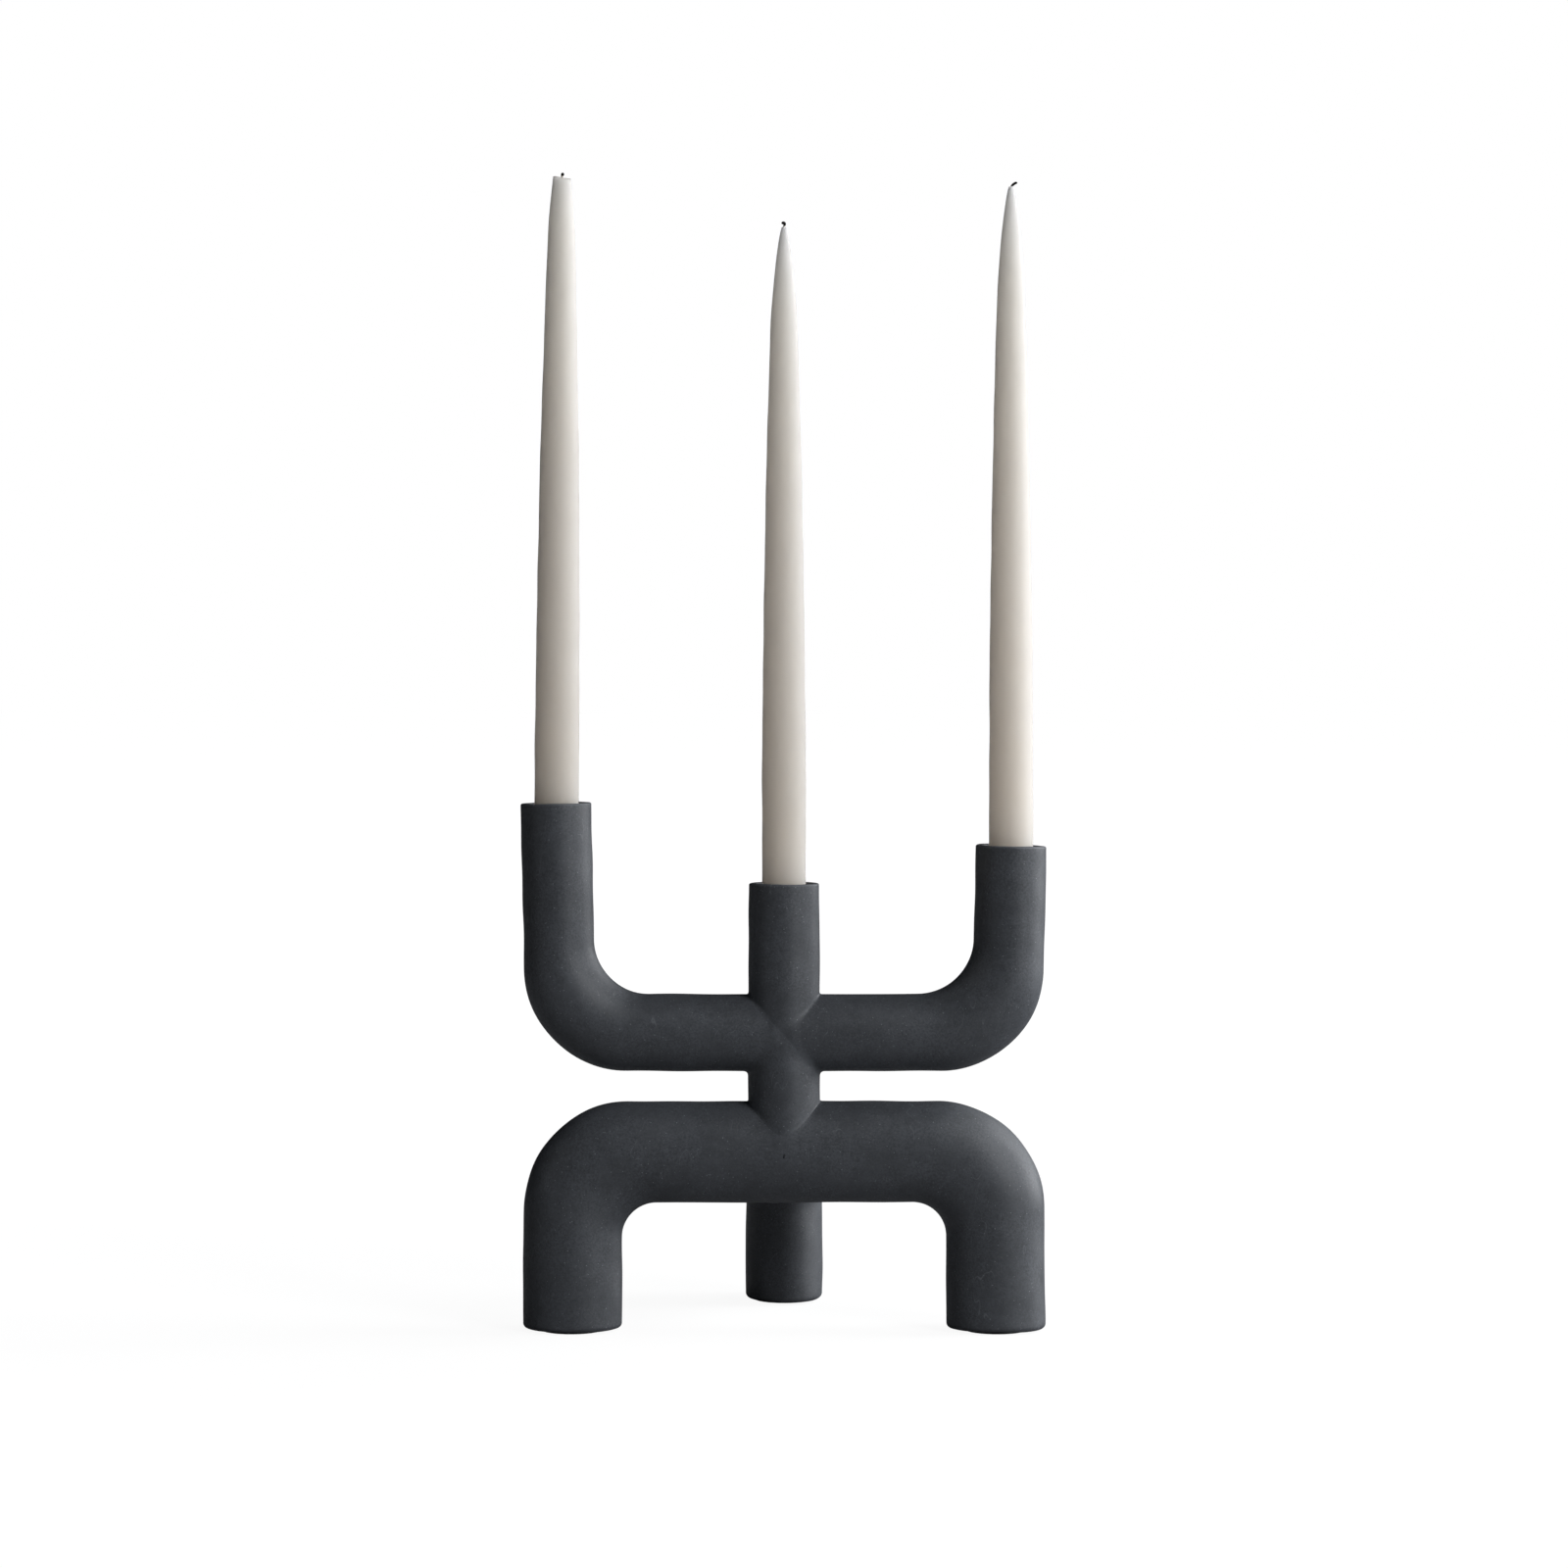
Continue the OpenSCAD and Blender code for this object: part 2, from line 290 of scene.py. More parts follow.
def upright_ring(rim, lean, radius, down):
    """A round turn of an upright tube, at a distance down from its rim."""
    across = np.array([-math.cos(lean), -math.sin(lean)])
    centre = np.array(rim) - np.array([-math.sin(lean), math.cos(lean)]) * down
    return ring(centre + across * radius, centre - across * radius, radius)


def lip(rim, lean):
    """The rounded lip, from the outer wall over into the mouth and down to the ledge."""
    turns = []
    for i in range(LIP_STEPS + 1):
        a = math.pi / 2 * i / LIP_STEPS
        radius = CUP_R - RIM_ROUND * (1 - math.cos(a))
        turns.append(upright_ring(rim, lean, radius, RIM_ROUND * (1 - math.sin(a))))
    for i in range(LIP_STEPS + 1):
        a = math.pi / 2 * i / LIP_STEPS
        radius = MOUTH_R + RIM_ROUND * (1 - math.sin(a))
        turns.append(upright_ring(rim, lean, radius, RIM_ROUND * (1 - math.cos(a))))
    ledge = upright_ring(rim, lean, MOUTH_R, LEDGE_DEPTH)
    return turns + between(turns[-1], ledge, evenly(6)) + [ledge]


def arm_mitre(scale):
    """The end of an arm, cut on the two sloping planes where it meets the column."""
    z = -ARM_HALF_H * np.cos(around) * scale
    x = -np.abs(z) * COLUMN_HALF_W / ARM_HALF_H
    return np.stack([x, ARM_HALF_D * np.sin(around) * scale, ARM_Z + z], axis=1)


def arm_bend():
    """The elbow of an arm. Its outer and inner edges have their own centres, so it is fuller there."""
    outer_x = -(CUP_REACH + CUP_R - ARM_OUTER_R)
    inner_x = -(CUP_REACH - CUP_R - ARM_INNER_R)
    outer_centre = np.array([outer_x, ARM_Z - ARM_HALF_H + ARM_OUTER_R])
    inner_centre = np.array([inner_x, ARM_Z + ARM_HALF_H + ARM_INNER_R])
    turns = []
    for i in range(BEND_STEPS + 1):
        share = i / BEND_STEPS
        a = (math.pi / 2 - ARM_SPLAY) * share
        way = np.array([-math.sin(a), -math.cos(a)])
        depth = ARM_HALF_D + (CUP_R - ARM_HALF_D) * share
        turns.append(ring(outer_centre + way * ARM_OUTER_R, inner_centre + way * ARM_INNER_R, depth))
    return turns


def arm(node, rim, place):
    """An arm and its upright, drawn to the left. rim is the (x, z) of the middle of its mouth."""
    bend = arm_bend()
    mouth = lip(rim, ARM_SPLAY)
    outside = [
        arm_mitre(1),
        *between(arm_mitre(1), bend[0], from_one_end(56)),
        *bend,
        *between(bend[-1], mouth[0], evenly(26)),
        *mouth,
    ]
    inside = [
        upright_ring(rim, ARM_SPLAY, CUP_R * HOLLOW, LEDGE_DEPTH),
        *[shrunk(turn) for turn in reversed(bend[:: BEND_STEPS // 11])],
        arm_mitre(HOLLOW),
    ]

    def neighbours(turns):
        low = np.clip((ARM_Z - turns[..., 2]) / ARM_HALF_H * 2 + 0.5, 0, 1)
        return [(COLUMN, SLIP_ABOVE_ARMS + (SLIP_BELOW_ARMS - SLIP_ABOVE_ARMS) * low)]

    return wall_piece(node, outside, inside, neighbours, place)


def column_mitre(scale, up):
    """The end of the cup's or the neck's tube, cut to meet the arms."""
    x = -COLUMN_HALF_W * np.cos(around) * scale
    z = ARM_Z + up * np.abs(x) * ARM_HALF_H / COLUMN_HALF_W
    return np.stack([x, ARM_HALF_D * np.sin(around) * scale, z], axis=1)


def middle_cup(rim):
    mouth = lip(rim, 0)
    start = column_mitre(1, 1)
    outside = [start, *between(start, mouth[0], from_one_end(64)), *mouth]
    inside = [upright_ring(rim, 0, CUP_R * HOLLOW, LEDGE_DEPTH), column_mitre(HOLLOW, 1)]
    return wall_piece("middle_cup", outside, inside, lambda turns: [(ARMS, SLIP_ABOVE_ARMS)])


def neck():
    """The column between the arms and the base, coped onto the arch and the root of the rear leg."""

    def rise(across):
        return ARCH_HALF_H * np.sqrt(1 - (across / ARCH_HALF_D) ** 2)

    def coped(scale, down=0):
        x = -COLUMN_HALF_W * np.cos(around) * scale
        y = ARM_HALF_D * np.sin(around) * scale
        z = ARCH_Z + np.maximum(rise(y), np.where(y > 0, rise(x), 0)) - down
        return np.stack([x, y, z], axis=1)

    mitre = column_mitre(1, -1)
    outside = [coped(1), *between(coped(1), mitre, from_both_ends(84)), mitre]
    inside = [column_mitre(HOLLOW, -1), coped(HOLLOW, SUNK), coped(1, SUNK)]

    def neighbours(turns):
        return [(ARMS, SLIP_BELOW_ARMS), (ARCH, SLIP_ON_BASE), (REAR, SLIP_ON_BASE)]

    return wall_piece("neck", outside, inside, neighbours)


# ---- Arch and legs ----


def leg_bend():
    """The elbow of a leg, from level to upright, drawn to the left."""
    outer_x = -(LEG_REACH + LEG_HALF_W - LEG_OUTER_R)
    inner_x = -(LEG_REACH - LEG_HALF_W - LEG_INNER_R)
    outer_centre = np.array([outer_x, ARCH_Z + ARCH_HALF_H - LEG_OUTER_R])
    inner_centre = np.array([inner_x, ARCH_Z - ARCH_HALF_H - LEG_INNER_R])
    turns = []
    for i in range(BEND_STEPS + 1):
        a = (math.pi / 2 + LEG_SPLAY) * i / BEND_STEPS
        way = np.array([-math.sin(a), math.cos(a)])
        outer = outer_centre + way * LEG_OUTER_R
        inner = inner_centre + way * LEG_INNER_R
        turns.append(ring(outer, inner, ARCH_HALF_D))
    return turns


def leg_axis(z):
    """Where a leg's axis is at a height."""
    return np.array([-LEG_REACH - (ARCH_Z - ARCH_HALF_H - z) * math.tan(LEG_SPLAY), z])


def leg_ring(z, inset, scale=1):
    """A level oval turn of a leg, less an inset all round."""
    half = np.array([-(LEG_HALF_W - inset) * scale, 0])
    return ring(leg_axis(z) + half, leg_axis(z) - half, (ARCH_HALF_D - inset) * scale)


def vent_ring(z):
    """A turn of the hole that lets the kiln's heat out of a closed leg."""
    half = np.array([-VENT_R, 0])
    return ring(leg_axis(z) + half, leg_axis(z) - half, VENT_R)


def leg_outside():
    bend = leg_bend()
    foot = []
    for i in range(LIP_STEPS + 3):
        a = math.pi / 2 * i / (LIP_STEPS + 2)
        height = PAD_T + FOOT_ROUND * (1 - math.sin(a))
        foot.append(leg_ring(height, FOOT_ROUND * (1 - math.cos(a))))
    sole = between(foot[-1], vent_ring(PAD_T), evenly(6))
    return bend + between(bend[-1], foot[0], evenly(34)) + foot + sole + [vent_ring(PAD_T)]


def leg_inside():
    floor = PAD_T + FOOT_FLOOR
    bend = [shrunk(turn) for turn in leg_bend()[:: BEND_STEPS // 11]]
    return bend + [leg_ring(floor, 0, HOLLOW), vent_ring(floor)]


def front_arch():
    outside = leg_outside()
    inside = leg_inside()
    other_side = [mirrored(turn) for turn in outside]
    other_inside = [mirrored(turn) for turn in inside]
    crowd = 2.6
    shares = [math.sinh(crowd * (2 * s - 1)) / math.sinh(crowd) / 2 + 0.5 for s in evenly(150)]
    skin = [
        *reversed(outside),
        *between(outside[0], other_side[0], shares),
        *other_side,
    ]
    bore = [*reversed(other_inside), *inside]

    def neighbours(turns):
        return [(COLUMN, SLIP_ON_BASE), (REAR, SLIP_BEHIND)]

    return wall_piece("front_arch", skin, bore, neighbours)


def rear_leg():
    def coped(scale, into=0):
        rise = np.cos(around) * scale
        x = -ARCH_HALF_D * np.sqrt(1 - rise**2) + into
        return np.stack([x, ARCH_HALF_D * np.sin(around) * scale, ARCH_Z + ARCH_HALF_H * rise], axis=1)

    outside = leg_outside()
    skin = [coped(1), *between(coped(1), outside[0], from_one_end(56)), *outside]
    bore = [*reversed(leg_inside()), coped(HOLLOW, SUNK), coped(1, SUNK)]

    def neighbours(turns):
        return [(ARCH, SLIP_BEHIND), (COLUMN, SLIP_ON_BASE)]

    return wall_piece("rear_leg", skin, bore, neighbours, turned_to_rear)


# ---- Sockets and pads ----

SOCKET_RECESS = 8 * MM
FLANGE_T = 4 * MM
SOCKET_FLOOR = 3 * MM
SOCKET_PLAY = 0.3 * MM
SOCKET_ROUND = 0.7 * MM
CANDLE_DEPTH = 30 * MM
PAD_R = 16.5 * MM
ROUND_STEPS = 96


def spun(name, profile, sharp_above=50):
    """Turns a profile of (radius, height) points about the vertical through the origin."""
    shape = bmesh.new()
    points = [shape.verts.new((radius, 0, height)) for radius, height in profile]
    edges = [shape.edges.new(pair) for pair in zip(points, points[1:])]
    bmesh.ops.spin(
        shape,
        geom=points + edges,
        axis=(0, 0, 1),
        cent=(0, 0, 0),
        angle=2 * math.pi,
        steps=ROUND_STEPS,
        use_merge=True,
    )
    bmesh.ops.remove_doubles(shape, verts=shape.verts, dist=1e-6)
    bmesh.ops.recalc_face_normals(shape, faces=shape.faces)
    return finished(name, shape, sharp_above)


def corner(radius, height, size, start, steps=4):
    """A rounded corner of a profile about a centre: a quarter turn from the angle start, in degrees."""
    points = []
    for i in range(steps + 1):
        a = math.radians(start + 90 * i / steps)
        points.append((radius + size * math.cos(a), height + size * math.sin(a)))
    return points


def reshape(made, change):
    """Moves every point of a piece to where change puts it."""
    for point in made.data.vertices:
        point.co = change(point.co)


def socket(node, foot, tube_lean, candle_lean):
    """A flanged thimble that hangs in the mouth. Its bore follows the candle's lean."""
    bore_r = candle_r + SOCKET_PLAY
    body_r = CUP_R * HOLLOW - SOCKET_PLAY
    flange_r = MOUTH_R - SOCKET_PLAY
    flange_z = CANDLE_DEPTH - SOCKET_RECESS
    inset = SOCKET_ROUND
    profile = [
        (0, -SOCKET_FLOOR),
        (body_r - inset, -SOCKET_FLOOR),
        (body_r, -SOCKET_FLOOR + inset),
        (body_r, flange_z - FLANGE_T),
        (flange_r, flange_z - FLANGE_T),
        *corner(flange_r - inset, flange_z - inset, inset, 0),
        *corner(bore_r + inset, flange_z - inset, inset, 90),
        (bore_r, flange_z * 0.66),
        (bore_r, flange_z * 0.33),
        (bore_r, 0),
        (0, 0),
    ]
    made = spun(node + "_thimble", profile)
    rim = foot + Vector((0, 0, CANDLE_DEPTH))

    def place(co):
        in_bore = math.hypot(co.x, co.y) < bore_r + inset / 2 and co.z > -SOCKET_FLOOR / 2
        lean = candle_lean if in_bore else -tube_lean
        origin = foot if in_bore else rim - Vector((0, 0, CANDLE_DEPTH))
        down = co.z if in_bore else co.z - CANDLE_DEPTH
        base = origin if in_bore else rim
        side = Vector((math.cos(lean), 0, -math.sin(lean)))
        up = Vector((math.sin(lean), 0, math.cos(lean)))
        return base + side * co.x + Vector((0, co.y, 0)) + up * down

    reshape(made, place)
    return set_up(made, node, "holder", thimble_clay)


def foot_pad(node):
    """A disc of felt glued under a foot, its rim a little frayed."""
    low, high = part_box(node)
    centre = (low + high) / 2
    t = high.z - low.z
    soft = t * 0.3
    radius = (high.x - low.x) / 2
    shape = bmesh.new()
    disc = bmesh.ops.create_circle(shape, cap_ends=True, radius=radius, segments=ROUND_STEPS)
    grown = bmesh.ops.extrude_face_region(shape, geom=shape.faces[:])
    top = [part for part in grown["geom"] if isinstance(part, bmesh.types.BMVert)]
    bmesh.ops.translate(shape, verts=top, vec=(0, 0, t))
    rims = [edge for edge in shape.edges if abs(edge.verts[0].co.z - edge.verts[1].co.z) < t / 2]
    bmesh.ops.bevel(
        shape, geom=rims, offset=soft, segments=3, profile=0.5, affect="EDGES", material=-1
    )
    bmesh.ops.recalc_face_normals(shape, faces=shape.faces)
    made = finished(node + "_felt", shape)

    def place(co):
        turn = math.atan2(co.y, co.x)
        frayed = 1 - 0.006 * (1 + math.sin(23 * turn) * math.sin(7 * turn + 1))
        return Vector((centre.x + co.x * frayed, centre.y + co.y * frayed, low.z + co.z))

    reshape(made, place)
    return set_up(made, node, "holder", felt)


# ---- Candles and wicks ----

SHAFT_TAPER_L = 333 * MM
SHAFT_TAPER = 0.548
TIP_L = 57 * MM
TIP_FULLNESS = 1.6
WICK_R = 0.9 * MM
WICK_NECK_R = 0.6 * MM
WICK_SHOWN = 4 * MM
DIP_UNEVEN = 0.06 * MM

candle_low, candle_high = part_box("middle_candle")
candle_r = (candle_high.y - candle_low.y) / 2


def taper_r(t):
    """Radius of the wax at a distance below the tip that it was dipped to."""
    shaft = candle_r * (1 - SHAFT_TAPER * max(0, 1 - t / SHAFT_TAPER_L) ** 2)
    return shaft * math.sqrt(1 - max(0, 1 - t / TIP_L) ** TIP_FULLNESS)


def candle_lean(body):
    """The lean of a candle from the slide that it is drawn out along."""
    for joint in frame["joints"]:
        if joint["child"] == body:
            return math.atan2(joint["axis"][0], joint["axis"][2])
    return 0


def candle_foot(node, lean):
    low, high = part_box(node)
    return Vector((low.x + candle_r * math.cos(lean), FRONT_Y, low.z + candle_r * math.sin(lean)))


def leaning(foot, lean):
    """Puts a point of an upright piece where it is on a piece that leans from the same foot."""
    side = Vector((math.cos(lean), 0, -math.sin(lean)))
    up = Vector((math.sin(lean), 0, math.cos(lean)))
    return lambda co: foot + side * co.x + Vector((0, co.y, 0)) + up * co.z


def dipped(co, seed):
    """The slow unevenness that dipping leaves on a taper."""
    turn = math.atan2(co.y, co.x)
    waves = 0
    for k, length in enumerate((31, 47, 83, 140)):
        waves += math.sin(co.z / (length * MM) * 2 * math.pi + seed * (k + 1.7) + turn * (k % 3))
    radius = math.hypot(co.x, co.y)
    share = 1 + DIP_UNEVEN * waves * min(1, radius / candle_r) / max(radius, WICK_R)
    return Vector((co.x * share, co.y * share, co.z))


def taper(node, body, height, gone, seed, burnt=False):
    """A dipped candle of a height, with a length gone from its tip."""
    lean = candle_lean(body)
    foot = candle_foot(node, lean)
    stations = 110
    profile = [(0, 0), (candle_r - 0.6 * MM, 0), (candle_r, 0.6 * MM)]
    for i in range(1, stations + 1):
        t = gone + (height - 0.6 * MM) * (1 - i / stations) ** 1.6
        profile.append((taper_r(t), height + gone - t))
    top_r = taper_r(gone)
    if burnt:
        profile[-1] = (top_r, height - 0.5 * MM)
        profile += [(top_r * 0.97, height - 0.12 * MM), (top_r * 0.88, height)]
        profile += [(top_r * s, height - 0.8 * MM * (1 - s / 0.88)) for s in (0.7, 0.5, 0.35, 0.25)]
        profile.append((0, height - 0.3 * MM))
    else:
        profile += [(top_r * 0.75, height + 0.25 * MM), (0, height + 0.4 * MM)]
    made = spun(node + "_wax", profile)
    rise = made.data.attributes.new("rise", "FLOAT", "POINT")
    for point, value in zip(made.data.vertices, rise.data):
        value.value = point.co.z / height

    def shape(co):
        moved = dipped(co, seed)
        if burnt and co.z > height - 3 * MM:
            tilt = -0.12 * co.x + 0.25 * MM * math.sin(2 * math.atan2(co.y, co.x) + 1)
            moved.z += tilt * (co.z - height + 3 * MM) / (3 * MM)
        return leaning(foot, lean)(moved)

    reshape(made, shape)
    return set_up(made, node, body, wax)


def wick(node, body, candle, height, free, way, knob_r, charred_from):
    """A braided wick through the whole candle, with a free length that stands out of the wax.
    way gives the angle it points at, off the candle's own line, at even steps of its free length."""
    lean = candle_lean(body)
    foot = candle_foot(candle, lean)
    strands = 24
    turn = np.linspace(0, 2 * math.pi, strands, endpoint=False)
    step = 0.12 * MM
    buried = height - WICK_SHOWN
    stations = list(np.linspace(0, buried, 50)) + list(np.arange(buried + step, height + free, step))
    total = stations[-1]
    shape = bmesh.new()
    bmesh.ops.create_grid(shape, x_segments=len(stations) - 1, y_segments=strands, size=0.5)
    char = shape.verts.layers.float.new("char")
    cord = shape.verts.layers.float.new("strand")
    path = [(0.0, 0.0, 0.0)]
    for before, s in zip(stations, stations[1:]):
        x, z, _ = path[-1]
        angle = math.radians(np.interp((s - height) / free, np.linspace(0, 1, len(way)), way))
        if s < height:
            angle = 0
        path.append((x + (s - before) * math.sin(angle), z + (s - before) * math.cos(angle), angle))
    for point in shape.verts:
        i = round((point.co.x + 0.5) * (len(stations) - 1))
        j = round((point.co.y + 0.5) * strands) % strands
        s = stations[i]
        x, z, angle = path[i]
        end = total - s
        swell = min(1, max(0, (s - height - charred_from) / (0.9 * MM)))
        neck_r = WICK_R if s < height - 1 * MM else WICK_NECK_R
        braid = math.cos(3 * turn[j] - s / (0.8 * MM))
        close = math.sqrt(1 - max(0, 1 - end / knob_r) ** 2)
        radius = (neck_r + (knob_r - neck_r) * swell) * (0.93 + 0.07 * braid) * max(close, 0.12)
        inward, sideways = radius * math.cos(turn[j]), radius * math.sin(turn[j])
        point.co = Vector((x - inward * math.cos(angle), sideways, z + inward * math.sin(angle)))
        point[char] = min(1, max(0, (s - height - charred_from) / (0.6 * MM) + 0.5))
        point[cord] = 0.5 + 0.5 * braid
    bmesh.ops.remove_doubles(shape, verts=shape.verts, dist=1e-6)
    bmesh.ops.holes_fill(shape, edges=shape.edges, sides=strands)
    bmesh.ops.recalc_face_normals(shape, faces=shape.faces)
    made = finished(node + "_braid", shape)
    reshape(made, leaning(foot, lean))
    return set_up(made, node, body, cotton)


# ---- Materials ----


class Wire:
    """The output of a node. Arithmetic on wires and numbers adds Math nodes."""

    def __init__(self, recipe, socket):
        self.recipe = recipe
        self.socket = socket

    def math(self, operation, first, second):
        return self.recipe.node("ShaderNodeMath", {"operation": operation}, {0: first, 1: second})

    def __add__(self, other):
        return self.math("ADD", self, other)

    def __radd__(self, other):
        return self.math("ADD", other, self)

    def __sub__(self, other):
        return self.math("SUBTRACT", self, other)

    def __rsub__(self, other):
        return self.math("SUBTRACT", other, self)

    def __mul__(self, other):
        return self.math("MULTIPLY", self, other)

    def __rmul__(self, other):
        return self.math("MULTIPLY", other, self)

    def __abs__(self):
        return self.math("ABSOLUTE", self, 0)


class Recipe:
    """A tree of shader nodes that is added to from the inside out."""

    def __init__(self, tree):
        self.tree = tree
        self.tree.nodes.clear()

    def node(self, kind, settings=None, values=None, output=0):
        """Adds a node, with its settings first and then its sockets' values or wires. Returns an output."""
        made = self.tree.nodes.new(kind)
        for name, setting in (settings or {}).items():
            setattr(made, name, setting)
        for name, value in (values or {}).items():
            if isinstance(value, Wire):
                self.tree.links.new(value.socket, made.inputs[name])
            else:
                made.inputs[name].default_value = value
        return Wire(self, made.outputs[output]) if made.outputs else None

    def noise(self, where, size, detail=2.0, roughness=0.5):
        """Cloudy noise from 0 to 1 whose blots are about a size, in metres, across."""
        values = {"Vector": where, "Scale": 1 / size, "Detail": detail, "Roughness": roughness}
        return self.node("ShaderNodeTexNoise", None, values)

    def step(self, wire, low, high, start=0.0, end=1.0):
        """Runs from start to end, softly, while the wire goes from low to high."""
        values = {"Value": wire, "From Min": low, "From Max": high, "To Min": start, "To Max": end}
        return self.node("ShaderNodeMapRange", {"interpolation_type": "SMOOTHSTEP"}, values)

    def mix(self, share, first, second):
        """A colour between two colours."""
        return self.node("ShaderNodeMix", {"data_type": "RGBA"}, {0: share, 6: first, 7: second}, 2)

    def stretched(self, where, scale):
        """Coordinates whose pattern is drawn out or squeezed along each axis."""
        return self.node("ShaderNodeMapping", None, {"Vector": where, "Scale": scale})

    def here(self):
        return self.node("ShaderNodeTexCoord", None, None, "Object")

    def painted(self, name):
        """A value painted on the points of a piece."""
        return self.node("ShaderNodeAttribute", {"attribute_name": name}, None, "Fac")

    def bump(self, height, depth, strength=1.0):
        values = {"Height": height, "Distance": depth, "Strength": strength}
        return self.node("ShaderNodeBump", None, values)

    def surface(self, values):
        made = self.node("ShaderNodeBsdfPrincipled", None, values)
        self.node("ShaderNodeOutputMaterial", None, {"Surface": made})


def material_recipe(name):
    made = bpy.data.materials.new(name)
    made.use_nodes = True
    return made, Recipe(made.node_tree)


def colour(red, green, blue):
    return (red, green, blue, 1)


def make_stoneware(name, dark, pale, fleck):
    """Dry, matt clay: clouded in tone, finely grained, with sparse pale specks, faint rubs and a painted
    highlight on its rounded edges.
    """
    made, mix = material_recipe(name)
    where = mix.here()
    cloud = mix.noise(where, 34 * MM, 3, 0.55)
    blot = mix.noise(where, 6 * MM, 4, 0.6)
    grain = mix.noise(where, 1.1 * MM, 3, 0.75)
    cells = mix.node("ShaderNodeTexVoronoi", None, {"Vector": where, "Scale": 1 / (1.5 * MM)})
    lottery = mix.noise(where, 1.3 * MM, 0)
    speck = mix.step(cells, 0.12, 0.2, 1, 0) * mix.step(lottery, 0.6, 0.68)
    warped = mix.noise(mix.stretched(where, (1, 1, 0.35)), 9 * MM, 1)
    hairline = mix.step(abs(warped - 0.5), 0.0, 0.008, 1, 0)
    rub = hairline * mix.step(mix.noise(where, 14 * MM, 2), 0.56, 0.66)
    edge = mix.painted("edge")
    # Rounded edges, most of all the cups' lips, are painted paler: a painted highlight. The same mask also
    # makes them a little less rough.
    painted_edge_highlight = mix.step(edge, 0.15, 0.9)
    rough_patch = mix.step(mix.noise(where, 17 * MM, 2), 0.35, 0.65, 1.2, 2.8)
    tone = (cloud - 0.5) * 0.8 + (blot - 0.5) * 0.7 + (grain - 0.5) * rough_patch + painted_edge_highlight * 0.35
    body = mix.mix(mix.step(tone, -0.6, 0.6), dark, pale)
    specked = mix.mix(speck * 0.8 + rub * 0.25, body, fleck)
    roughness = 0.5 + (blot - 0.5) * 0.18 - painted_edge_highlight * 0.04
    relief = grain * 0.7 + blot * 0.5 + speck * 0.5
    mix.surface(
        {
            "Base Color": specked,
            "Roughness": roughness,
            "Specular IOR Level": 0.5,
            "Normal": mix.bump(relief, 0.09 * MM, 0.6),
        }
    )
    return made


def make_wax(name):
    """Dipped wax, warm, with faint streaks along it. It is painted a little darker low down, painted shade
    by the cup, and paler towards the tip, painted light.
    """
    made, mix = material_recipe(name)
    where = mix.here()
    rise = mix.painted("rise")
    streak = mix.noise(mix.stretched(where, (1, 1, 0.04)), 5 * MM, 3, 0.6)
    cloud = mix.noise(where, 22 * MM, 3)
    # The colour ramp by height is painted light and shade: a little darker low down by the cup's mouth, and
    # paler towards the tip.
    tone = rise + (streak - 0.5) * 0.12 + (cloud - 0.5) * 0.12
    low = mix.mix(mix.step(tone, 0.0, 0.35), colour(0.645, 0.56, 0.475), colour(0.66, 0.58, 0.50))
    high = mix.mix(mix.step(tone, 0.45, 1.0), low, colour(0.75, 0.635, 0.52))
    scratches = mix.noise(mix.stretched(where, (1, 1, 0.1)), 1.6 * MM, 2)
    mix.surface(
        {
            "Base Color": high,
            "Roughness": 0.52 + (cloud - 0.5) * 0.12,
            "Specular IOR Level": 0.25,
            "Subsurface Weight": 1.0,
            "Subsurface Radius": (1.0, 0.96, 0.92),
            "Subsurface Scale": 80 * MM,
            "Normal": mix.bump(streak * 0.6 + scratches * 0.2 + cloud * 0.5, 0.12 * MM, 0.6),
        }
    )
    return made


def make_cotton(name):
    """Braided cotton, pale where the wax still holds it and charred at the end."""
    made, mix = material_recipe(name)
    where = mix.here()
    char = mix.painted("char")
    strand = mix.painted("strand")
    ash = mix.noise(where, 0.5 * MM, 2)
    clean = mix.mix(strand, colour(0.36, 0.32, 0.27), colour(0.62, 0.57, 0.5))
    black = mix.mix(ash, colour(0.003, 0.003, 0.003), colour(0.014, 0.013, 0.012))
    mix.surface(
        {
            "Base Color": mix.mix(char, clean, black),
            "Roughness": 0.9 - char * 0.1,
            "Specular IOR Level": 0.15,
            "Normal": mix.bump(strand + ash * 0.4, 0.1 * MM),
        }
    )
    return made


def make_felt(name):
    """Pressed grey felt with loose fibres."""
    made, mix = material_recipe(name)
    where = mix.here()
    fibre = mix.noise(mix.stretched(where, (1, 0.3, 1)), 0.35 * MM, 3, 0.7)
    tuft = mix.noise(where, 2.5 * MM, 2)
    tone = mix.step(fibre * 0.7 + tuft * 0.3, 0.3, 0.7)
    mix.surface(
        {
            "Base Color": mix.mix(tone, colour(0.045, 0.042, 0.04), colour(0.12, 0.115, 0.108)),
            "Roughness": 0.95,
            "Sheen Weight": 0.3,
            "Normal": mix.bump(fibre, 0.2 * MM),
        }
    )
    return made


stoneware = make_stoneware(
    "charcoal_stoneware",
    colour(0.0505, 0.0545, 0.0605),
    colour(0.096, 0.104, 0.117),
    colour(0.3, 0.315, 0.34),
)
thimble_clay = make_stoneware(
    "bare_thimble_clay",
    colour(0.026, 0.026, 0.028),
    colour(0.05, 0.05, 0.053),
    colour(0.13, 0.13, 0.13),
)
wax = make_wax("dipped_wax")
cotton = make_cotton("charred_cotton")
felt = make_felt("pressed_felt")


# ---- The pieces ----

lefts = candle_lean("left_taper")
left_foot = candle_foot("left_candle", lefts)
middle_foot = candle_foot("middle_candle", 0)
right_foot = candle_foot("right_candle", 0)

arm("left_arm", (left_foot.x, left_foot.z + CANDLE_DEPTH), lambda turns: turns)
arm("right_arm", (-right_foot.x, right_foot.z + CANDLE_DEPTH), mirrored)
middle_cup((0, middle_foot.z + CANDLE_DEPTH))
neck()
front_arch()
rear_leg()

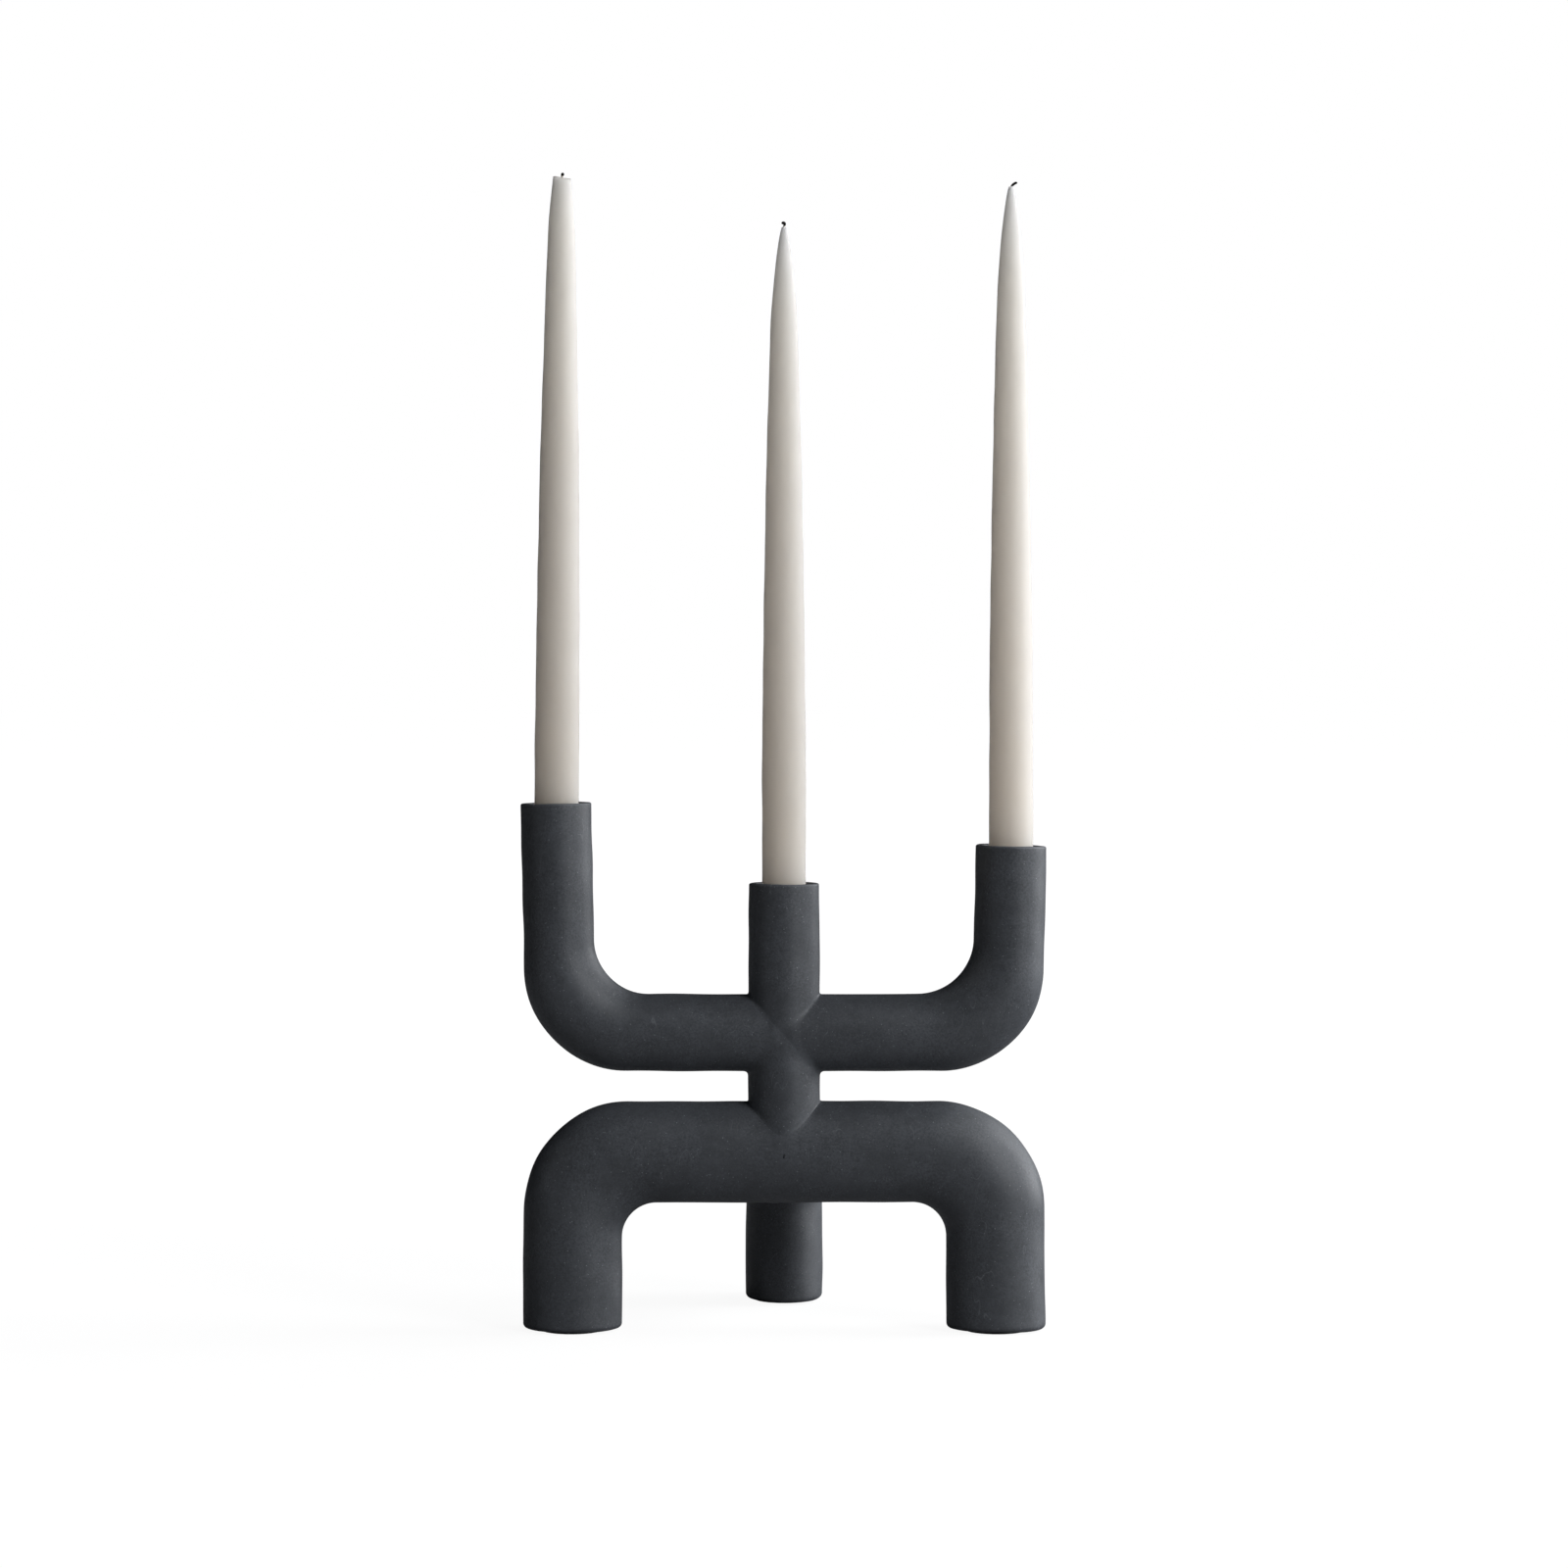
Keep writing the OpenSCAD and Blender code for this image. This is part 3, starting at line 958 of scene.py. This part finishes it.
socket("left_socket", left_foot, ARM_SPLAY, lefts)
socket("middle_socket", middle_foot, 0, 0)
socket("right_socket", right_foot, -ARM_SPLAY, 0)

foot_pad("left_foot_pad")
foot_pad("right_foot_pad")
foot_pad("rear_foot_pad")

TIP_GONE = 2 * MM
LEFT_GONE = 24.5 * MM
whole_height = candle_high.z - candle_low.z
left_low, left_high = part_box("left_candle")
left_height = (left_high.z - left_low.z) / math.cos(lefts) - 2 * candle_r * math.sin(lefts) * 0.5

left_height -= 0.8 * MM
middle_height = whole_height - 1.5 * MM
taper("left_candle", "left_taper", left_height, LEFT_GONE, 1, burnt=True)
taper("middle_candle", "middle_taper", middle_height, TIP_GONE, 2)
taper("right_candle", "right_taper", whole_height, TIP_GONE, 3)

wick("left_wick", "left_taper", "left_candle", left_height, 2.9 * MM, (0, 12, 35), 0.95 * MM, 0.9 * MM)
wick("middle_wick", "middle_taper", "middle_candle", middle_height,
     4.0 * MM, (0, 15, 0, -105, -125), 0.8 * MM, 0.8 * MM)
wick("right_wick", "right_taper", "right_candle", whole_height,
     4.2 * MM, (25, 45, 55, 60, 150), 0.72 * MM, 0.3 * MM)


# ---- Stage, light and camera ----

CAMERA_DISTANCE = 2.304
CAMERA_Z = 0.352
SENSOR = 36
LENS_RATIO = 2.769  # distance over the width that it takes in
SHIFT_Y = -0.075
STAGE_R = 30
SEEN_TONE = colour(1, 1, 1)
LIGHT_TINT = (0.985, 1.0, 1.025)


def studio_surface(tree, seen, unseen, output):
    """A shader that the camera sees as one thing and the object is lit by as another."""
    mix = Recipe(tree)
    is_camera = mix.node("ShaderNodeLightPath", None, None, "Is Camera Ray")
    both = mix.node("ShaderNodeMixShader", None, {0: is_camera, 1: unseen(mix), 2: seen(mix)})
    mix.node(output, None, {"Surface": both})


def make_floor():
    """A wide pale floor. It is grey to the object, so that the object keeps a dark underside."""

    def seen(mix):
        far = mix.node("ShaderNodeVectorMath", {"operation": "LENGTH"}, {0: mix.here()}, "Value")
        tone = mix.mix(mix.step(far, 0.2, 2.5), colour(0.93, 0.93, 0.93), SEEN_TONE)
        glow = mix.node("ShaderNodeEmission", None, {"Color": tone, "Strength": 1.0})
        paint = mix.node("ShaderNodeBsdfDiffuse", None, {"Color": colour(0.12, 0.12, 0.12)})
        return mix.node("ShaderNodeAddShader", None, {0: glow, 1: paint})

    def unseen(mix):
        return mix.node("ShaderNodeBsdfDiffuse", None, {"Color": colour(0.26, 0.26, 0.265)})

    shape = bmesh.new()
    bmesh.ops.create_circle(shape, cap_ends=True, radius=STAGE_R, segments=64)
    floor = finished("floor", shape)
    paint = bpy.data.materials.new("pale_floor")
    paint.use_nodes = True
    studio_surface(paint.node_tree, seen, unseen, "ShaderNodeOutputMaterial")
    floor.data.materials.append(paint)


def make_world():
    def plain(tone, strength):
        return lambda mix: mix.node(
            "ShaderNodeBackground", None, {"Color": tone, "Strength": strength}
        )

    world = bpy.data.worlds.new("studio")
    world.use_nodes = True
    bpy.context.scene.world = world
    studio_surface(
        world.node_tree,
        plain(SEEN_TONE, 1.0),
        plain(colour(0.95, 0.97, 1.0), 0.0),
        "ShaderNodeOutputWorld",
    )


def make_softbox(name, azimuth, elevation, distance, size, power):
    """A soft area light that faces the middle of the object. Azimuth is 0 at the camera, 90 at the right."""
    light = bpy.data.lights.new(name, "AREA")
    light.shape = "RECTANGLE"
    light.size, light.size_y = size
    light.energy = power
    light.color = LIGHT_TINT
    made = bpy.data.objects.new(name, light)
    a = math.radians(azimuth)
    e = math.radians(elevation)
    back = Vector((math.sin(a) * math.cos(e), -math.cos(a) * math.cos(e), math.sin(e)))
    made.location = Vector((0, FRONT_Y, 0.25)) + back * distance
    made.rotation_euler = back.to_track_quat("Z", "Y").to_euler()
    bpy.context.scene.collection.objects.link(made)


def make_camera():
    camera = bpy.data.cameras.new("camera")
    camera.sensor_width = SENSOR
    camera.lens = SENSOR * LENS_RATIO
    camera.shift_y = SHIFT_Y
    made = bpy.data.objects.new("camera", camera)
    made.location = (0, FRONT_Y - CAMERA_DISTANCE, CAMERA_Z)
    made.rotation_euler = (math.pi / 2, 0, 0)
    bpy.context.scene.collection.objects.link(made)
    bpy.context.scene.camera = made


make_floor()
make_world()
make_softbox("low_side_strip", 101, 9, 8, (7.0, 2.3), 375)
make_softbox("high_side_box", 94, 37, 8, (2.6, 5.0), 305)
make_softbox("front_strip", 45, 28, 6, (2.0, 5.6), 194)
make_softbox("rim_box", 132, 28, 6, (3.0, 4.0), 80)
make_softbox("left_card", -60, 20, 2.5, (1.4, 1.4), 2.4)
make_camera()
bpy.context.scene.view_settings.view_transform = "Standard"
